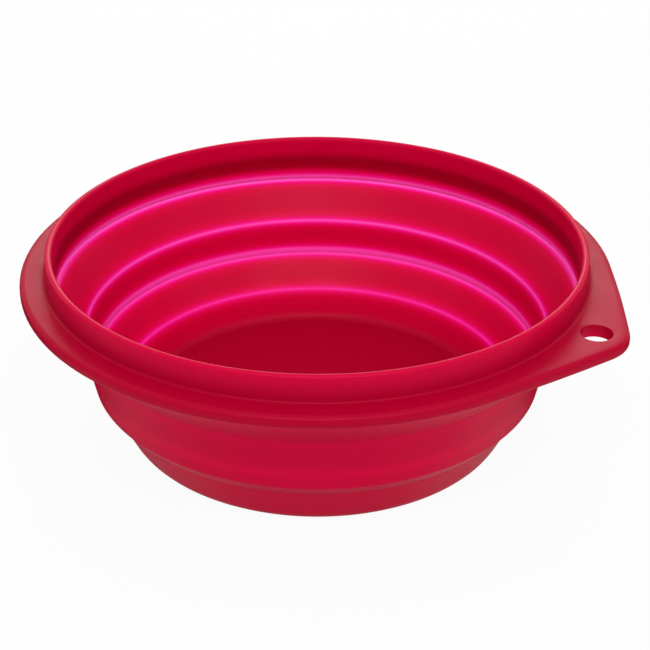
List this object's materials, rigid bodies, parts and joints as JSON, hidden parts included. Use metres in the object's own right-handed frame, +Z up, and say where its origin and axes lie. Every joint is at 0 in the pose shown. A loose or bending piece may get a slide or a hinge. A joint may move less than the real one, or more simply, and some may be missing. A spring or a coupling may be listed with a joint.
{
  "type": "collapsible silicone pet bowl",
  "caption": "Round collapsible silicone pet bowl with a stepped folding wall, rounded lip, flat flange and a hang tab with an eye; it presses flat along its fold lines.",
  "frame": {"origin": "centre of the bowl's flat underside", "axes": "+Z up along the bowl's axis, +X towards the hang tab"},
  "size_m": [0.1476, 0.14, 0.0494],
  "materials": {
    "silicone_body": "satin crimson silicone",
    "silicone_web": "satin crimson silicone, thin enough to let light through"
  },
  "bodies": {
    "base_cup": {"base_floor": "silicone_body", "base_wall": "silicone_body", "lower_inner_hinge": "silicone_web", "lower_fold_band": "silicone_body"},
    "ring": {"lower_outer_hinge": "silicone_web", "middle_ring": "silicone_body", "upper_inner_hinge": "silicone_web", "upper_fold_band": "silicone_body"},
    "rim": {"upper_outer_hinge": "silicone_web", "rim_collar": "silicone_body", "rim_flange": "silicone_body", "hang_tab": "silicone_body"}
  },
  "joints": [
    {"name": "lower_fold", "type": "slide", "parent": "base_cup", "child": "ring", "axis": [0, 0, -1], "range_m": [0, 0.014], "deforming": ["lower_fold_band", "lower_inner_hinge", "lower_outer_hinge"]},
    {"name": "upper_fold", "type": "slide", "parent": "ring", "child": "rim", "axis": [0, 0, -1], "range_m": [0, 0.017], "deforming": ["upper_fold_band", "upper_inner_hinge", "upper_outer_hinge"]}
  ]
}
